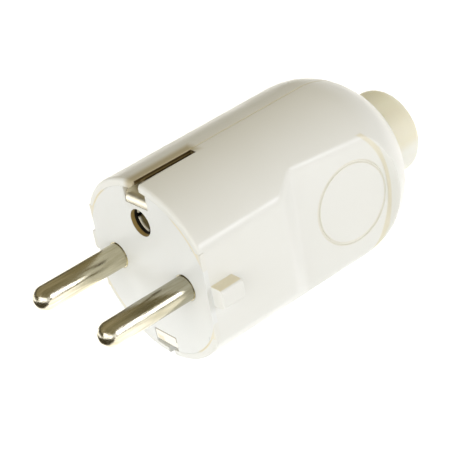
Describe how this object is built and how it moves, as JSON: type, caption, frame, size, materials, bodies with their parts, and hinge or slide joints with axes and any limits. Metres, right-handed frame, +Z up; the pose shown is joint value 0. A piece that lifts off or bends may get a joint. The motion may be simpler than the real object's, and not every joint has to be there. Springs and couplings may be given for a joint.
{
  "type": "type f plug",
  "caption": "Rewirable mains plug: round pins, an earth hole and side earth strips, in a split moulded cover with sunk side grips and a soft cord grommet.",
  "frame": {"origin": "middle of the engagement face, halfway between the two pins", "axes": "-Y along the pins towards their tips, +Y along the body to the cord end, +X to the pin on the right, +Z up towards the earth hole"},
  "size_m": [0.0368, 0.0815, 0.0368],
  "materials": {
    "cover": "gloss",
    "insert": "gloss",
    "pins": "nickel plated",
    "earth": "nickel plated",
    "contact": "bare",
    "spring": "bare",
    "screws": "zinc plated",
    "plate": "matte",
    "sleeve": "satin"
  },
  "bodies": {
    "root": {"shell_right": "cover", "shell_left": "cover", "pin_carrier": "insert", "pin_right": "pins", "pin_left": "pins", "earth_bracket": "earth", "earth_socket": "contact", "socket_spring": "spring", "back_plate": "plate", "plate_screws": "screws", "terminal_screws": "screws", "earth_terminal_screw": "screws", "earth_terminal_washer": "contact", "earth_terminal_nut": "contact", "cord_clamp": "plate", "cord_clamp_screws": "screws", "shell_screws": "screws", "shell_inserts": "contact", "cord_grommet": "sleeve"}
  },
  "joints": []
}
